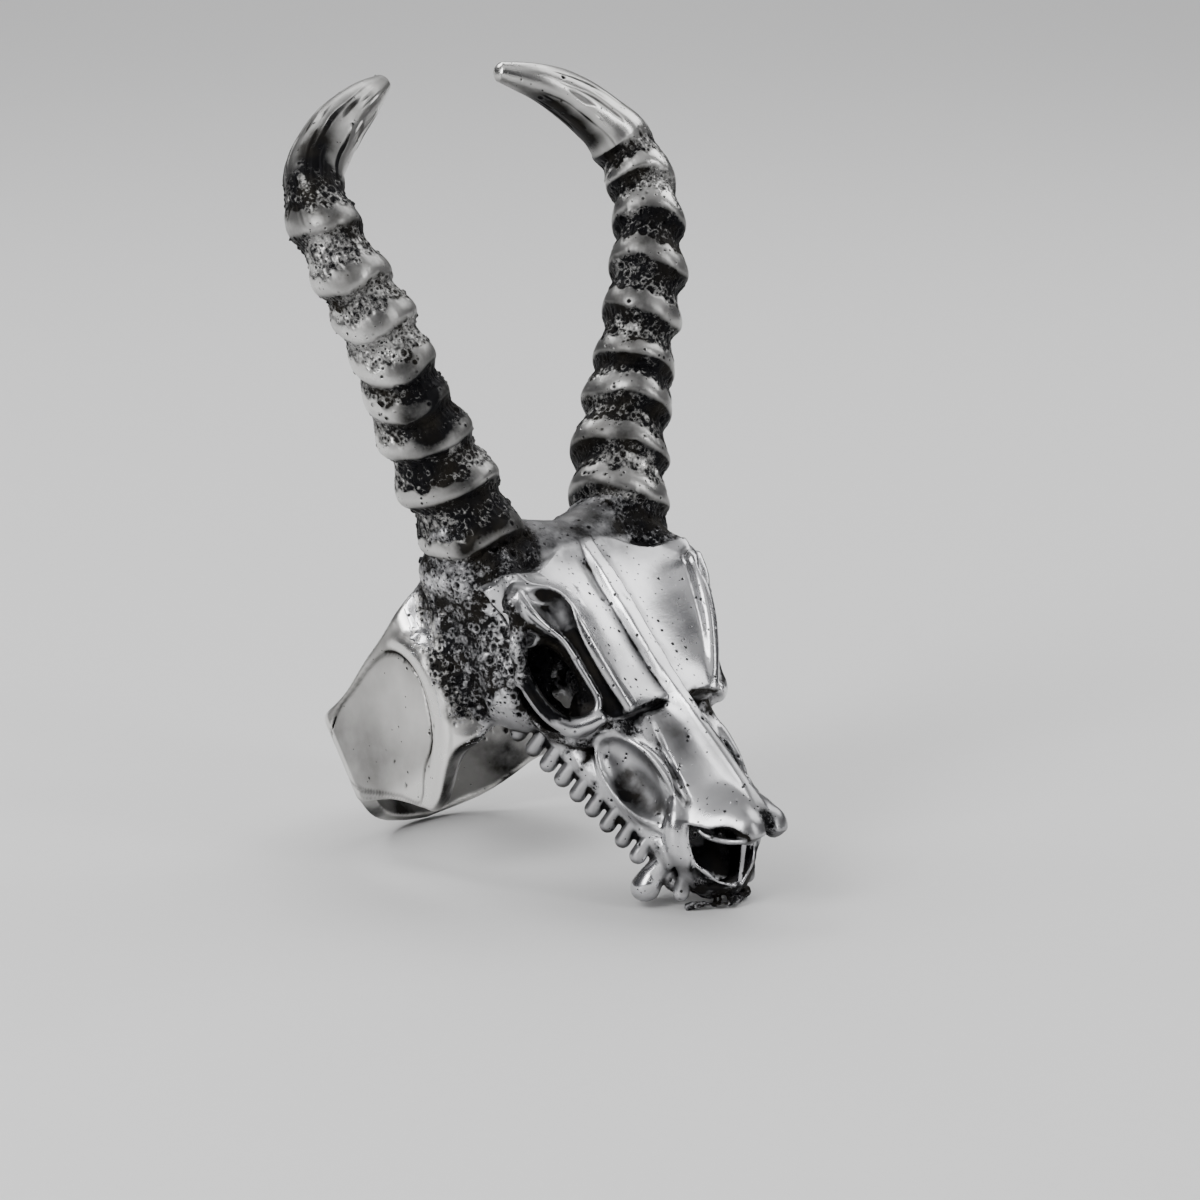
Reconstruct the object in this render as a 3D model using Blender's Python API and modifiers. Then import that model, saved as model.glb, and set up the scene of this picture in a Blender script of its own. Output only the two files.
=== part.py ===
"""A cast silver finger ring in the shape of a ringed-horn antelope skull, at real size, in metres.

The pieces are modelled in the ring's own frame: x across the finger, -y towards the face of the skull and
+z along the finger's bore. The whole ring is then tipped forward until the teeth and the palm edge of the
band stand on the same table at z = 0.
"""

import math

import bmesh
import bpy
import numpy as np
from mathutils import Matrix, Vector

MM = 0.001

# Band
BORE_RADIUS = 9.1 * MM
PALM_RADIUS = 10.4 * MM
PANEL_HALF_WIDTH = 10.0 * MM
SADDLE_RADIUS = 11.7 * MM
EDGE_ROUNDING = 0.45
FLAT_FROM = 0.86
BAND_STEPS = 84
SECTION_STEPS = 12
# Angle round the bore from the palm, then how far that rim or that wall stands from the bore's centre
LOWER_RIM = ((0, 0.0), (30, 0.2), (46, 0.5), (58, 1.1), (70, 0.5), (82, -0.1), (93, -1.3), (104, -2.6),
             (112, -2.3), (119, -0.5), (128, 0.4), (147, 1.2), (180, 1.4))
UPPER_RIM = ((0, 7.3), (52, 7.4), (80, 7.8), (101, 9.0), (122, 10.2), (132, 11.3), (145, 11.9), (180, 11.9))
OUTER_WALL = ((0, 10.4), (50, 10.4), (66, 10.8), (114, 10.8), (130, 11.3), (145, 11.7), (180, 11.7))

# Skull
FIT_GAP = 0.3 * MM
SKULL_VOXEL = 0.36 * MM
SKULL_KEPT_FACES = 0.115
SADDLE_FROM = 0.9 * MM
TEETH_PER_SIDE = 9
TOOTH_RADIUS = 0.62 * MM
TOOTH_LENGTH = 1.0 * MM

# Horns: crest places are distances along the horn from its foot
HORN_PATH = ((6.9, 13.5, 12.5), (7.4, 14.0, 14.0), (8.2, 14.7, 16.2), (9.5, 15.9, 19.1), (10.7, 17.0, 21.7),
             (11.7, 18.3, 24.2), (12.9, 19.5, 27.1), (14.1, 20.3, 30.4), (14.7, 20.7, 33.8), (14.1, 20.9, 36.4),
             (12.5, 21.3, 38.2), (10.6, 21.6, 39.7), (8.2, 21.8, 41.0), (5.1, 21.3, 42.5))
# Distance back from the tip, then the horn's radius there, both in millimetres
HORN_SHAFT = ((0, 0.6), (2, 1.0), (4, 1.35), (6, 1.65), (8, 1.9), (12, 2.05), (20, 2.15), (27, 2.45), (34, 3.0))
CREST_RISE = 0.42 * MM
CREST_HALF_WIDTH = 0.85 * MM
CRESTS = tuple(d * MM for d in (1.2, 4.6, 7.7, 10.4, 13.0, 16.2, 19.6, 22.9))
HORN_STEPS = 49

# Resting
FLAT_FOOT_DEPTH = 0.07 * MM
SIDES = (-1, 1)


def clear_scene():
    for obj in list(bpy.data.objects):
        bpy.data.objects.remove(obj, do_unlink=True)


def new_collection(name, hidden=False):
    collection = bpy.data.collections.new(name)
    collection.hide_render = hidden
    bpy.context.scene.collection.children.link(collection)
    return collection


def silver(name, colour, roughness):
    material = bpy.data.materials.new(name)
    material.use_nodes = True
    shader = material.node_tree.nodes["Principled BSDF"]
    shader.inputs["Base Color"].default_value = (*colour, 1.0)
    shader.inputs["Metallic"].default_value = 1.0
    shader.inputs["Roughness"].default_value = roughness
    return material


def ring_point(across, out, up):
    """A point given in millimetres across the finger, out from the bore towards the face, and up the bore."""
    return Vector((across, -out, up)) * MM


def mesh_object(name, form, collection):
    mesh = bpy.data.meshes.new(name)
    bmesh.ops.recalc_face_normals(form, faces=form.faces)
    form.to_mesh(mesh)
    form.free()
    obj = bpy.data.objects.new(name, mesh)
    collection.objects.link(obj)
    return obj


def cutter(name, form, collection):
    obj = mesh_object(name, form, collection)
    obj.hide_render = True
    obj.display_type = "WIRE"
    return obj


def cut(obj, tool):
    modifier = obj.modifiers.new("cut_" + tool.name, "BOOLEAN")
    modifier.operation = "DIFFERENCE"
    modifier.object = tool


def station(table, place):
    """The length a table of (place, millimetres) gives at this place, eased between its stations."""
    for (start, low), (end, high) in zip(table, table[1:]):
        if place <= end:
            share = (place - start) / (end - start)
            return (low + (high - low) * share * share * (3 - 2 * share)) * MM
    return table[-1][1] * MM


def rounded(value):
    """A sine or cosine pushed out to 1, so that a circle becomes a rectangle with flat sides and round corners."""
    return math.copysign(min(1.0, abs(value) / FLAT_FROM) ** EDGE_ROUNDING, value)


def outer_radius(degrees):
    """The outer wall is round, but for the flat panel at each side."""
    across = abs(math.sin(math.radians(degrees)))
    wall = station(OUTER_WALL, degrees)
    return min(wall, PANEL_HALF_WIDTH / across) if degrees < 125 and across > 0.1 else wall


def make_band(collection):
    """A torus whose round section is redrawn, at each angle, as the wall between the two rims."""
    middle = (BORE_RADIUS + PALM_RADIUS) / 2
    bpy.ops.mesh.primitive_torus_add(
        major_radius=middle, minor_radius=MM,
        major_segments=BAND_STEPS, minor_segments=SECTION_STEPS,
    )
    obj = bpy.context.active_object
    obj.name = obj.data.name = "band"
    for vertex in obj.data.vertices:
        x, y, z = vertex.co
        radius = math.hypot(x, y)
        from_palm = math.degrees(math.acos(max(-1.0, min(1.0, y / radius))))
        outward = rounded((radius - middle) / MM)
        upward = rounded(z / MM)
        inner, outer = BORE_RADIUS, outer_radius(from_palm)
        low, high = station(LOWER_RIM, from_palm), station(UPPER_RIM, from_palm)
        at = (inner + outer) / 2 + outward * (outer - inner) / 2
        height = (low + high) / 2 + upward * (high - low) / 2
        vertex.co = (x / radius * at, y / radius * at, height)
    for scene_collection in obj.users_collection:
        scene_collection.objects.unlink(obj)
    collection.objects.link(obj)
    return obj


def add_blob(form, centre, radii, lean=0.0):
    """An ellipsoid with half axes across, out and up, its upper end leaned outwards by an angle in degrees."""
    place = Matrix.Translation(ring_point(*centre)) @ Matrix.Rotation(math.radians(lean), 4, "X")
    size = Matrix.Diagonal((*(Vector(radii) * MM), 1.0))
    bmesh.ops.create_uvsphere(form, u_segments=24, v_segments=16, radius=1.0, matrix=place @ size)


def add_bar(form, start, end, radius_start, radius_end):
    """A round bar between two points, with a ball at each end."""
    a, b = ring_point(*start), ring_point(*end)
    axis = b - a
    turn = axis.to_track_quat("Z", "Y").to_matrix().to_4x4()
    bmesh.ops.create_cone(
        form, cap_ends=True, segments=16, radius1=radius_start * MM, radius2=radius_end * MM,
        depth=axis.length, matrix=Matrix.Translation((a + b) / 2) @ turn,
    )
    for point, radius in ((a, radius_start), (b, radius_end)):
        bmesh.ops.create_uvsphere(
            form, u_segments=16, v_segments=10, radius=radius * MM, matrix=Matrix.Translation(point)
        )


def add_chain(form, points, radius, closed=False):
    """A ridge of bars from point to point."""
    ends = list(points[1:]) + ([points[0]] if closed else [])
    for start, end in zip(points, ends):
        add_bar(form, start, end, radius, radius)


def mirrored(point, side):
    return (point[0] * side, point[1], point[2])


def add_cranium(form):
    """The braincase, the forehead and the central crest that runs down it."""
    add_blob(form, (0, 12.2, 7.4), (7.3, 4.3, 4.7))
    add_blob(form, (0, 14.6, 2.8), (5.9, 3.1, 8.6), lean=-11)
    add_chain(form, ((0, 16.2, 10.2), (0, 17.1, 3.0), (0, 18.3, -3.6)), 0.75)
    for side in SIDES:
        add_bar(form, mirrored((5.8, 12.6, 8.2), side), mirrored((7.4, 14.2, 13.6), side), 3.7, 3.6)
        add_blob(form, mirrored((6.5, 11.2, 5.6), side), (2.5, 4.2, 5.2))


def add_orbit(form, side):
    """The bony rim round an eye, with the cup behind it."""
    rim = ((8.1, 16.5, 7.5), (6.2, 17.0, 5.6), (5.3, 17.3, 2.5), (4.8, 17.8, -1.0), (4.9, 17.6, -3.0),
           (6.3, 16.2, -3.2), (7.7, 15.0, -2.0), (8.7, 14.6, 0.9), (8.8, 15.0, 4.2))
    add_chain(form, [mirrored(p, side) for p in rim], 0.7, closed=True)
    add_blob(form, mirrored((6.4, 13.9, 1.6), side), (2.7, 3.0, 4.9))
    add_bar(form, mirrored((8.1, 16.2, 7.2), side), mirrored((7.0, 13.4, 9.4), side), 1.0, 2.2)


def add_muzzle(form):
    """The nose, its ridge and its two tips, the palate, and the arch of bone below the nostrils."""
    add_bar(form, (0, 14.6, -1.5), (0, 16.6, -11.2), 3.3, 2.1)
    add_chain(form, ((0, 18.2, -3.2), (0, 19.4, -8.4), (0, 20.0, -13.0)), 0.95)
    add_bar(form, (0, 13.2, 0.0), (0, 14.9, -12.2), 3.2, 1.8)
    add_bar(form, (1.5, 15.2, -16.3), (-1.5, 15.2, -16.3), 0.8, 0.8)
    add_bar(form, (0, 19.0, -13.2), (0, 15.6, -16.2), 0.35, 0.35)
    for side in SIDES:
        add_bar(form, mirrored((1.1, 19.3, -10.0), side), mirrored((1.8, 20.2, -13.5), side), 1.0, 0.7)
        add_bar(form, mirrored((2.4, 16.2, -11.4), side), mirrored((1.5, 15.2, -16.3), side), 1.0, 0.8)
        add_bar(form, mirrored((2.5, 14.6, -12.2), side), mirrored((1.9, 14.5, -15.4), side), 1.1, 0.75)


def add_cheek(form, side):
    """The leaf-shaped lobe on the side of the nose, and the jaw below it that carries the teeth."""
    add_blob(form, mirrored((3.3, 15.4, -7.2), side), (1.4, 1.8, 4.1), lean=-2)
    add_bar(form, mirrored((4.8, 10.7, -0.3), side), mirrored((2.9, 14.2, -12.0), side), 1.5, 1.2)
    add_bar(form, mirrored((4.2, 13.2, -0.8), side), mirrored((2.6, 15.4, -11.4), side), 2.0, 1.2)


def add_teeth(form, side):
    """A row of pegs along the jaw, and the large blunt tooth at its front that the ring stands on."""
    rear, front = Vector((5.5, 9.6, -0.3)), Vector((3.8, 13.6, -11.3))
    for index in range(TEETH_PER_SIDE):
        root = rear.lerp(front, index / (TEETH_PER_SIDE - 1))
        tip = root + Vector((0, -TOOTH_LENGTH / MM, 0))
        radius = TOOTH_RADIUS / MM
        add_bar(form, mirrored(root, side), mirrored(tip, side), radius, radius)
    add_bar(form, mirrored((3.1, 14.0, -12.6), side), mirrored((3.5, 12.6, -13.6), side), 1.2, 1.15)


def make_skull(collection, cutters):
    """All the bony forms fused into one skin, then hollowed at the eyes and nose and fitted to band and horns."""
    form = bmesh.new()
    add_cranium(form)
    add_muzzle(form)
    for side in SIDES:
        add_orbit(form, side)
        add_cheek(form, side)
        add_teeth(form, side)
    obj = mesh_object("skull", form, collection)
    remesh = obj.modifiers.new("fuse", "REMESH")
    remesh.mode = "VOXEL"
    remesh.voxel_size = SKULL_VOXEL
    decimate = obj.modifiers.new("fewer_faces", "DECIMATE")
    decimate.ratio = SKULL_KEPT_FACES
    for tool in skull_cutters(cutters):
        cut(obj, tool)
    return obj


def skull_cutters(cutters):
    tools = [*bore_cutters(cutters), nostril_cutter(cutters)]
    for side, word in zip(SIDES, ("right", "left")):
        form = bmesh.new()
        add_blob(form, mirrored((8.2, 16.0, 1.0), side), (2.9, 2.1, 2.9), lean=-8)
        tools.append(cutter("eye_socket_" + word, form, cutters))
        tools.append(horn_seat_cutter(side, word, cutters))
    return tools


def bore_cutters(cutters):
    """The cylinder of the band's front, so that the skull sits on it, and the finger's way below the band."""
    length = 60 * MM
    tools = []
    for name, radius, start in (("saddle", SADDLE_RADIUS, SADDLE_FROM), ("finger_way", BORE_RADIUS, -length / 2)):
        form = bmesh.new()
        bmesh.ops.create_cone(
            form, cap_ends=True, segments=96, radius1=radius + FIT_GAP, radius2=radius + FIT_GAP,
            depth=length, matrix=Matrix.Translation((0, 0, start + length / 2)),
        )
        tools.append(cutter(name, form, cutters))
    return tools


def nostril_cutter(cutters):
    """The opening between the nasal tips and the arch of bone below them, on both sides of the septum."""
    form = bmesh.new()
    for side in SIDES:
        add_blob(form, mirrored((1.75, 17.6, -15.6), side), (1.25, 1.5, 3.0), lean=-42)
    return cutter("nostrils", form, cutters)


def horn_seat_cutter(side, word, cutters):
    """A block over the foot of the horn, which leaves a flat seat on the skull."""
    foot = ring_point(*mirrored(HORN_PATH[0], side))
    direction = (ring_point(*mirrored(HORN_PATH[1], side)) - foot).normalized()
    depth = 12 * MM
    middle = foot + direction * (depth / 2 - FIT_GAP)
    form = bmesh.new()
    turn = direction.to_track_quat("Z", "Y").to_matrix().to_4x4()
    bmesh.ops.create_cone(
        form, cap_ends=True, segments=48, radius1=5.6 * MM, radius2=5.6 * MM, depth=depth,
        matrix=Matrix.Translation(middle) @ turn,
    )
    return cutter("horn_seat_" + word, form, cutters)


def smooth_path(points, count):
    """Points at equal steps along a Catmull-Rom curve through the given ones."""
    knots = np.array(points, float)
    knots = np.vstack((2 * knots[0] - knots[1], knots, 2 * knots[-1] - knots[-2]))
    fine = []
    for a, b, c, d in zip(knots, knots[1:], knots[2:], knots[3:]):
        for t in np.linspace(0, 1, 20, endpoint=False):
            fine.append(0.5 * (2 * b + (c - a) * t + (2 * a - 5 * b + 4 * c - d) * t**2
                               + (3 * b - a - 3 * c + d) * t**3))
    fine.append(knots[-2])
    fine = np.array(fine)
    along = np.concatenate(([0], np.cumsum(np.linalg.norm(np.diff(fine, axis=0), axis=1))))
    steps = np.linspace(0, along[-1], count)
    return np.array([np.interp(steps, along, fine[:, axis]) for axis in range(3)]).T, steps


def horn_radius(distance, length):
    """Thick at the foot and ringed with crests, then a smooth taper to a blunt tip."""
    shaft = station(HORN_SHAFT, (length - distance) / MM)
    return shaft + CREST_RISE * max(math.exp(-(((distance - place) / CREST_HALF_WIDTH) ** 2)) for place in CRESTS)


def make_horn(name, side, collection):
    """A tube along the horn's path whose radius swells at each ring."""
    path, steps = smooth_path([ring_point(*mirrored(p, side)) for p in HORN_PATH], HORN_STEPS)
    curve = bpy.data.curves.new(name, "CURVE")
    curve.dimensions = "3D"
    curve.bevel_depth = MM
    curve.bevel_resolution = 4
    curve.use_fill_caps = True
    spline = curve.splines.new("POLY")
    spline.points.add(len(path) - 1)
    for point, place, distance in zip(spline.points, path, steps):
        point.co = (*place, 1.0)
        point.radius = horn_radius(distance, steps[-1]) / MM
    obj = bpy.data.objects.new(name, curve)
    collection.objects.link(obj)
    return obj


def world_points(obj):
    """The points of an object's finished mesh, in the world."""
    bpy.context.view_layer.update()
    finished = obj.evaluated_get(bpy.context.evaluated_depsgraph_get())
    mesh = finished.to_mesh()
    points = np.array([finished.matrix_world @ v.co for v in mesh.vertices])
    finished.to_mesh_clear()
    return points


def resting_lean(band, skull):
    """The angle to tip the ring forward so that band and teeth reach the same height above the table."""
    heights = [world_points(obj)[:, 1:] for obj in (band, skull)]
    low, high = math.radians(20), math.radians(50)
    for _ in range(40):
        lean = (low + high) / 2
        band_z, skull_z = (
            (points[:, 0] * math.sin(-lean) + points[:, 1] * math.cos(lean)).min() for points in heights
        )
        if skull_z < band_z:
            low = lean
        else:
            high = lean
    return lean


def stand_on_table(frame, pieces):
    """Centres the ring's box over the origin with its lowest point on the table."""
    points = np.vstack([world_points(obj) for obj in pieces])
    middle = (points.min(axis=0) + points.max(axis=0)) / 2
    frame.location -= Vector((middle[0], middle[1], points[:, 2].min()))
    bpy.context.view_layer.update()


def flat_foot_cutter(cutters):
    """A slab whose top is a hair above the table: it leaves a small flat where the ring stands."""
    form = bmesh.new()
    depth = 4 * MM
    bmesh.ops.create_cube(
        form, size=1.0,
        matrix=Matrix.Translation((0, 0, FLAT_FOOT_DEPTH - depth / 2)) @ Matrix.Diagonal((0.08, 0.08, depth, 1)),
    )
    return cutter("flat_feet", form, cutters)


def main():
    clear_scene()
    ring = new_collection("antelope_skull_ring")
    cutters = new_collection("cutters", hidden=True)
    band = make_band(ring)
    skull = make_skull(ring, cutters)
    horns = [make_horn("horn_" + word, side, ring) for side, word in zip(SIDES, ("right", "left"))]
    pieces = [band, skull, *horns]

    band.data.materials.append(silver("polished_silver", (0.80, 0.79, 0.77), 0.18))
    skull.data.materials.append(silver("oxidised_silver_face", (0.62, 0.62, 0.64), 0.24))
    for horn in horns:
        horn.data.materials.append(silver("pitted_silver", (0.50, 0.49, 0.47), 0.33))

    frame = bpy.data.objects.new("ring_frame", None)
    ring.objects.link(frame)
    lean = resting_lean(band, skull)
    for obj in pieces + list(cutters.objects):
        obj.parent = frame
    frame.rotation_euler.x = -lean
    stand_on_table(frame, pieces)

    table = flat_foot_cutter(cutters)
    cut(band, table)
    cut(skull, table)
    for obj in (frame, table):
        obj.location.z -= FLAT_FOOT_DEPTH


main()
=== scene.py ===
"""A cast silver finger ring in the shape of a ringed-horn antelope skull, with its horns tipped back."""

import math

import bpy
import numpy as np
import openvdb
from mathutils import Matrix, Vector, noise

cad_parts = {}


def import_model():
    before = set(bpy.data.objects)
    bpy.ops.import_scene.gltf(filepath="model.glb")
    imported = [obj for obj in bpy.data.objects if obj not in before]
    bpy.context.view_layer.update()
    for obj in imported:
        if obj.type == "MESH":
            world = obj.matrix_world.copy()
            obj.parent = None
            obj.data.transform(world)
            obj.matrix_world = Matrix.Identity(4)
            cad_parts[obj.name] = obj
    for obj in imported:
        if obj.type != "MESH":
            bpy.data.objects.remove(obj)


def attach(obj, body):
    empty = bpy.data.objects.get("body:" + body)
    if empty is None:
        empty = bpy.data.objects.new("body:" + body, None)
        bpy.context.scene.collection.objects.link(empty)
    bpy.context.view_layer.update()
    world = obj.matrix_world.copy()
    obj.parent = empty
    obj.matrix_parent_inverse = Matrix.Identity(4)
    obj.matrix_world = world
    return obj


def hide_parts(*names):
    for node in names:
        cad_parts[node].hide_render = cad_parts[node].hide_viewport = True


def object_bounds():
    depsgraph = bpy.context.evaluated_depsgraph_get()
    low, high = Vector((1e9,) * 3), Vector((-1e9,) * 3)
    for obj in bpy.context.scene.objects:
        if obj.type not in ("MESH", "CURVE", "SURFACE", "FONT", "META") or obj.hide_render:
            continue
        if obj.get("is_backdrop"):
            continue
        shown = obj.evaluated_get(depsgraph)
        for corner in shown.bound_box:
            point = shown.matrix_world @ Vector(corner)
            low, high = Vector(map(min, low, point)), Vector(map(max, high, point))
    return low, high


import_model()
cad_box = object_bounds()
bpy.ops.object.select_all(action="DESELECT")


# Band
# The ring itself: a wide shank cast in silver from carved wax, with a flat leaf-shaped panel at each side.
# In front it widens into the rough metal that carries the skull. Forms this soft and fused aren't within
# reach of extruded primitives, so band and skull are carved on a grid.

MM = 0.001
# How far the ring leans forward, and where the middle of its bore is in the scene, in mm
LEAN = math.radians(34.09)
RING_CENTRE = (0.0, 6.17, 5.68)

# The step and the corners of the grid that half of the band is carved on
BAND_CELL = 0.145
BAND_LOW = (0.0, -11.2, -3.6)
BAND_HIGH = (11.6, 13.4, 13.4)
BORE_RADIUS = 9.1
PANEL_AT = 10.0
EDGE_ROUNDING = 0.45
# Angle round the bore from the palm in degrees, then the height of each rim up the bore
LOWER_RIM = ((0, 0.0), (30, 0.3), (45, 0.8), (57, 1.4), (70, 0.6), (82, -0.1), (93, -1.3), (103, -2.7),
             (110, -2.6), (118, -0.5), (128, 0.4), (147, 1.2), (180, 1.4))
UPPER_RIM = ((0, 7.3), (52, 7.4), (80, 7.8), (101, 9.0), (112, 9.5), (122, 10.2), (132, 11.4), (145, 11.9),
             (180, 11.9))
# The same angle, then the radius of the outer wall
OUTER_WALL = ((0, 10.2), (50, 10.2), (66, 10.8), (108, 10.9), (116, 11.4), (124, 12.0), (132, 11.7),
              (145, 11.4), (180, 11.5))
# The same angle, then the height of the line round the side panel
PANEL_OUTLINE = ((101, 8.3), (110, 8.5), (115, 8.3), (119, 7.7), (122, 6.5), (123, 4.9), (117, 1.5),
                 (108, 0.2), (99, -1.6), (90, -0.5), (83, 0.2), (67, 2.0), (57, 3.9), (62, 5.6), (74, 7.0),
                 (88, 7.7), (101, 8.3))
# The roll of metal along the lower rim, from the lobe of the panel up into the rib that carries the horn
ROLL = ((9.6, 2.4, -2.1), (9.5, 3.5, -1.3), (9.4, 5.0, 0.0), (9.3, 6.4, 1.6), (9.2, 7.1, 3.4),
        (9.2, 7.3, 5.2), (9.2, 7.0, 6.9), (9.3, 6.0, 8.3), (9.4, 4.6, 8.9))
RIB = ((8.6, 7.2, 1.0), (8.3, 8.0, 3.0), (8.0, 8.8, 6.0), (7.6, 9.8, 9.0), (7.3, 10.8, 11.0))
# The pits of rough metal in mm: how far apart their cells are, their widest radius, and their random start
LARGE_PITS = (0.85, 0.34, 3.0)
SMALL_PITS = (0.50, 0.20, 11.0)


def in_world(points):
    """Places in the scene in metres of points across the finger, out to the face and up the bore in mm."""
    across, out, up = np.asarray(points, float).T
    back = -out * math.cos(LEAN) + up * math.sin(LEAN)
    rise = out * math.sin(LEAN) + up * math.cos(LEAN)
    return (np.stack((across, back, rise), axis=1) + RING_CENTRE) * MM


def soft_min(one, other, blend):
    """The lower of two distances, rounded where they meet over this width."""
    near = np.maximum(blend - np.abs(one - other), 0) / blend
    return np.minimum(one, other) - near * near * blend / 4


def eased(value, start, end):
    """0 before start, 1 after end and smooth between."""
    share = np.clip((value - start) / (end - start), 0, 1)
    return share * share * (3 - 2 * share)


def along(table, place):
    """The columns of a table of (place, value, ...), read at these places with the corners smoothed."""
    table = np.array(table, float)
    fine = np.linspace(table[0, 0], table[-1, 0], 241)
    window = np.hanning(31)
    columns = []
    for column in table[:, 1:].T:
        values = np.pad(np.interp(fine, table[:, 0], column), 15, mode="reflect", reflect_type="odd")
        values = np.convolve(values, window / window.sum(), mode="valid")
        columns.append(np.interp(place, fine, values).astype(np.float32))
    return columns


def curved(points, radii, steps):
    """Points and radii along a smooth curve through the given ones."""
    knots = np.column_stack((np.array(points, float), np.broadcast_to(radii, len(points))))
    knots = np.vstack((2 * knots[0] - knots[1], knots, 2 * knots[-1] - knots[-2]))
    fine = []
    for a, b, c, d in zip(knots, knots[1:], knots[2:], knots[3:]):
        for t in np.arange(steps) / steps:
            fine.append(0.5 * (2 * b + (c - a) * t + (2 * a - 5 * b + 4 * c - d) * t**2
                               + (3 * b - a - 3 * c + d) * t**3))
    fine.append(knots[-2])
    fine = np.array(fine)
    return fine[:, :3], np.maximum(fine[:, 3], 0.02)


class Wax:
    """Carving wax as a grid of distances to its surface in mm, below zero inside.

    A shape is its two corners and its distance as a function of x across, w out and a up the bore.
    """

    def __init__(self, low, high, cell):
        self.low = np.array(low, float)
        self.cell = cell
        counts = np.ceil((np.array(high) - self.low) / cell).astype(int) + 1
        self.field = np.full(counts, 3.0, np.float32)
        self.polished = []
        self.rims = []
        self.roughened = []
        self.shaded = []

    def part(self, low, high):
        """The piece of the grid between two corners: its slices and its coordinates."""
        first = np.floor((np.array(low) - self.low) / self.cell).astype(int)
        last = np.ceil((np.array(high) - self.low) / self.cell).astype(int) + 1
        first = np.clip(first, 0, self.field.shape)
        last = np.clip(last, first, self.field.shape)
        slices = tuple(slice(start, stop) for start, stop in zip(first, last))
        axes = [self.low[i] + self.cell * np.arange(first[i], last[i]) for i in range(3)]
        return slices, np.meshgrid(*[axis.astype(np.float32) for axis in axes], indexing="ij", sparse=True)

    def add(self, shape, blend=0.4, polished=False, rim=False):
        """Adds wax in this shape. A rim is polished bright even where it borders a dark hollow."""
        low, high, distance = shape
        slices, places = self.part(np.array(low) - blend - 0.5, np.array(high) + blend + 0.5)
        if self.field[slices].size:
            self.field[slices] = soft_min(self.field[slices], distance(*places), blend)
        if polished:
            self.polished.append(distance)
        if rim:
            self.rims.append((distance, len(self.shaded)))

    def carve(self, shape, blend=0.2, polished=False, shade=0.0, reach=0.22):
        """Takes this shape away, and blackens by the shade what is within reach of it."""
        low, high, distance = shape
        slices, places = self.part(np.array(low) - blend, np.array(high) + blend)
        if self.field[slices].size:
            self.field[slices] = -soft_min(-self.field[slices], distance(*places), blend)
        if polished:
            self.polished.append(distance)
        if shade:
            self.shaded.append((distance, shade, reach))

    def polish(self, shape):
        """A polished rim along a shape, with no change to the wax."""
        self.polished.append(shape[2])
        self.rims.append((shape[2], len(self.shaded)))

    def blacken_and_shade(self, shape, shade, reach):
        """Blackening in and near a shape, in places used as painted shade, with no change to the wax."""
        self.shaded.append((shape[2], shade, reach))

    def roughen(self, shape, amount):
        """Roughness in and near a shape that the polish would otherwise reach."""
        self.roughened.append((shape[2], amount))

    def mirror(self):
        """The whole piece, from a half whose grid starts on the middle plane."""
        self.field = np.concatenate((self.field[:0:-1], self.field))
        self.low[0] = -self.cell * (self.field.shape[0] // 2)

    def skin(self):
        """The surface as vertices in mm and four-sided faces that point outwards."""
        grid = openvdb.FloatGrid()
        grid.copyFromArray(self.field)
        places, faces = grid.convertToQuads(isovalue=0.0)
        return places * self.cell + self.low, faces[:, ::-1]

    def read(self, values, places):
        """What a grid of values holds at these places, between its cells."""
        at = (places - self.low) / self.cell
        base = np.clip(at.astype(int), 0, np.array(values.shape) - 2)
        share = at - base
        total = np.zeros(len(places))
        for corner in np.ndindex(2, 2, 2):
            weight = np.prod(np.where(corner, share, 1 - share), axis=1)
            total += weight * values[tuple((base + corner).T)]
        return total

    def hollowness(self, places, reach):
        """How much of the metal within a reach in mm is more than the half that a flat surface has."""
        filled = np.clip(0.5 - self.field / self.cell, 0, 1)
        for axis in range(3):
            for _ in range(2):
                filled = box_blur(filled, max(1, round(reach / self.cell / 1.6)), axis)
        return self.read(filled, places) - 0.5

    def away_from(self, shapes, places):
        """The distance from each place to the nearest of the surfaces of these shapes."""
        across, out, up = places.T
        away = np.full(len(places), 9.0)
        for distance in shapes:
            away = np.minimum(away, np.abs(distance(np.abs(across), out, up)))
        return away

    def darkened(self, places, dark):
        """The blackening with that of the carved shapes added, some of it painted shade, but little on the
        rims that they left.
        """
        across, out, up = places.T
        depths = [shape(np.abs(across), out, up) for shape, _, _ in self.shaded]
        near = np.zeros(len(places))
        for rim, cuts_before in self.rims:
            there = 1 - eased(np.abs(rim(np.abs(across), out, up)), 0.02, 0.2)
            for depth in depths[cuts_before:]:
                there = there * eased(depth, 0.0, 0.1)
            near = np.maximum(near, there)
        for depth, (_, shade, reach) in zip(depths, self.shaded):
            dark = dark + shade * (1 - eased(depth, 0.02, reach))
        return dark * (1 - 0.9 * near)


def box_blur(values, reach, axis):
    """The mean over a window of this many cells to either side, along one axis."""
    padding = [(reach + 1, reach) if i == axis else (0, 0) for i in range(values.ndim)]
    sums = np.cumsum(np.pad(values, padding, mode="edge"), axis=axis, dtype=np.float32)
    upper = np.take(sums, range(2 * reach + 1, sums.shape[axis]), axis=axis)
    lower = np.take(sums, range(0, sums.shape[axis] - 2 * reach - 1), axis=axis)
    return (upper - lower) / (2 * reach + 1)


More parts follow.
